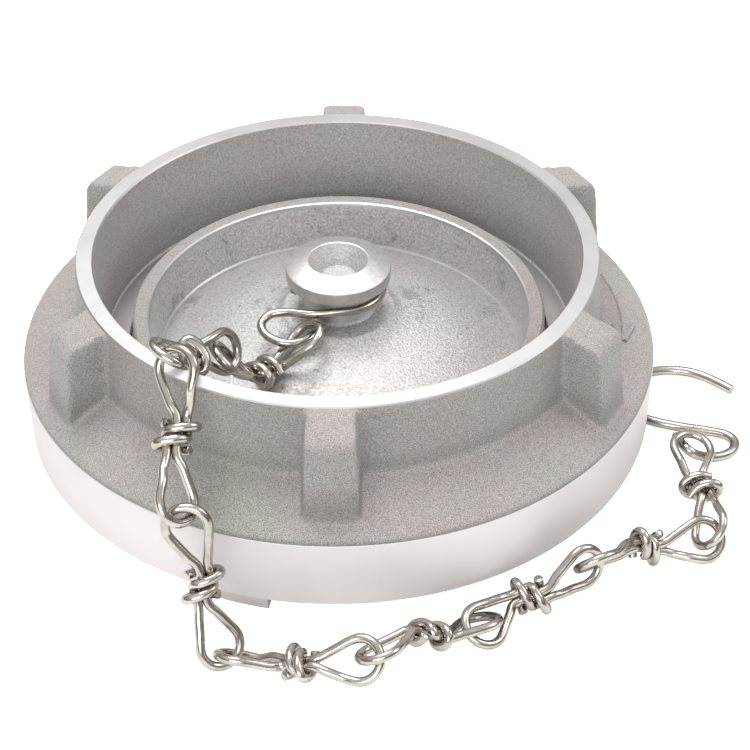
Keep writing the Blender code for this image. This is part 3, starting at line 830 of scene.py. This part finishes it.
# Stage, with places and sizes in metres
FLOOR_HALF = 4.0
FLOOR_GLOW = 0.75
FLOOR_GAP = 0.05
SKY = [(0.0, (0.18, 0.17, 0.16)), (0.3, (0.34, 0.33, 0.32)), (0.75, (0.92, 0.92, 0.92))]
# Name, place, target, width and height, and power of each light
LIGHTS = (
    ("key", (-0.1, 0.24, 0.8), (0, 0, 0), (0.5, 0.5), 6.3),
    ("front", (-0.12, -0.7, 0.3), (0, 0, 0), (0.6, 0.4), 2.9),
    ("side", (0.65, 0.05, 0.5), (-0.06, 0, 0.02), (0.4, 0.4), 1.45),
)


def floor():
    """A white floor that glows a little for the camera alone, so that it stays white."""
    material, tree, shader = nodes_of("floor_white")
    paper = [(0.0, (0.93, 0.93, 0.93)), (1.0, (0.94, 0.94, 0.94))]
    tree.links.new(ramp(tree, noise(tree, 3.0), paper), shader.inputs["Base Color"])
    shader.inputs["Roughness"].default_value = 1.0
    shader.inputs["Specular IOR Level"].default_value = 0.0
    path = tree.nodes.new("ShaderNodeLightPath")
    glow = tree.nodes.new("ShaderNodeMath")
    glow.operation = "MULTIPLY"
    glow.inputs[1].default_value = FLOOR_GLOW
    tree.links.new(path.outputs["Is Camera Ray"], glow.inputs[0])
    shader.inputs["Emission Color"].default_value = (1, 1, 1, 1)
    tree.links.new(glow.outputs[0], shader.inputs["Emission Strength"])
    mesh = bpy.data.meshes.new("floor")
    z = (GROUND_Z - FLOOR_GAP) * MM
    corners = [(-1, -1), (1, -1), (1, 1), (-1, 1)]
    mesh.from_pydata([(x * FLOOR_HALF, y * FLOOR_HALF, z) for x, y in corners], [], [[0, 1, 2, 3]])
    obj = linked(bpy.data.objects.new("floor", mesh))
    obj.data.materials.append(material)


def area(name, place, target, size, power):
    light = bpy.data.lights.new(name, "AREA")
    light.shape = "RECTANGLE"
    light.size, light.size_y = size
    light.energy = power
    obj = linked(bpy.data.objects.new(name, light))
    obj.location = place
    obj.rotation_euler = (Vector(target) - Vector(place)).to_track_quat("-Z", "Y").to_euler()


def studio_sky():
    """A soft sky for light and reflections, which the camera itself sees as white."""
    world = bpy.data.worlds.new("studio")
    bpy.context.scene.world = world
    world.use_nodes = True
    tree = world.node_tree
    background = tree.nodes["Background"]
    height = split_axes(tree, tree.nodes.new("ShaderNodeTexCoord").outputs["Generated"])["Z"]
    shade = ramp(tree, height, SKY)
    path = tree.nodes.new("ShaderNodeLightPath")
    seen = mix(tree, path.outputs["Is Camera Ray"], shade, WHITE)
    tree.links.new(seen, background.inputs["Color"])
    background.inputs["Strength"].default_value = 1.0


def photo_camera():
    turn = Matrix.Rotation(math.radians(CAMERA_TURN), 3, "Z")
    axes = (CAMERA_RIGHT, CAMERA_UP, CAMERA_FORWARD)
    right, up, forward = (turn @ Vector(axis) for axis in axes)
    data = bpy.data.cameras.new("photo_camera")
    data.lens = CAMERA_LENS
    data.sensor_width = SENSOR_WIDTH
    data.clip_start = CLIP_START
    camera = linked(bpy.data.objects.new("photo_camera", data))
    pose = Matrix((right, up, -forward)).transposed().to_4x4()
    pose.translation = Vector(CAMERA_PLACE) * MM
    camera.matrix_world = pose
    return camera


build_locking_ring()
build_cover()
build_arrow()
build_chain()
floor()
studio_sky()
for light in LIGHTS:
    area(*light)
scene = bpy.context.scene
scene.camera = photo_camera()
scene.view_settings.view_transform = "Standard"
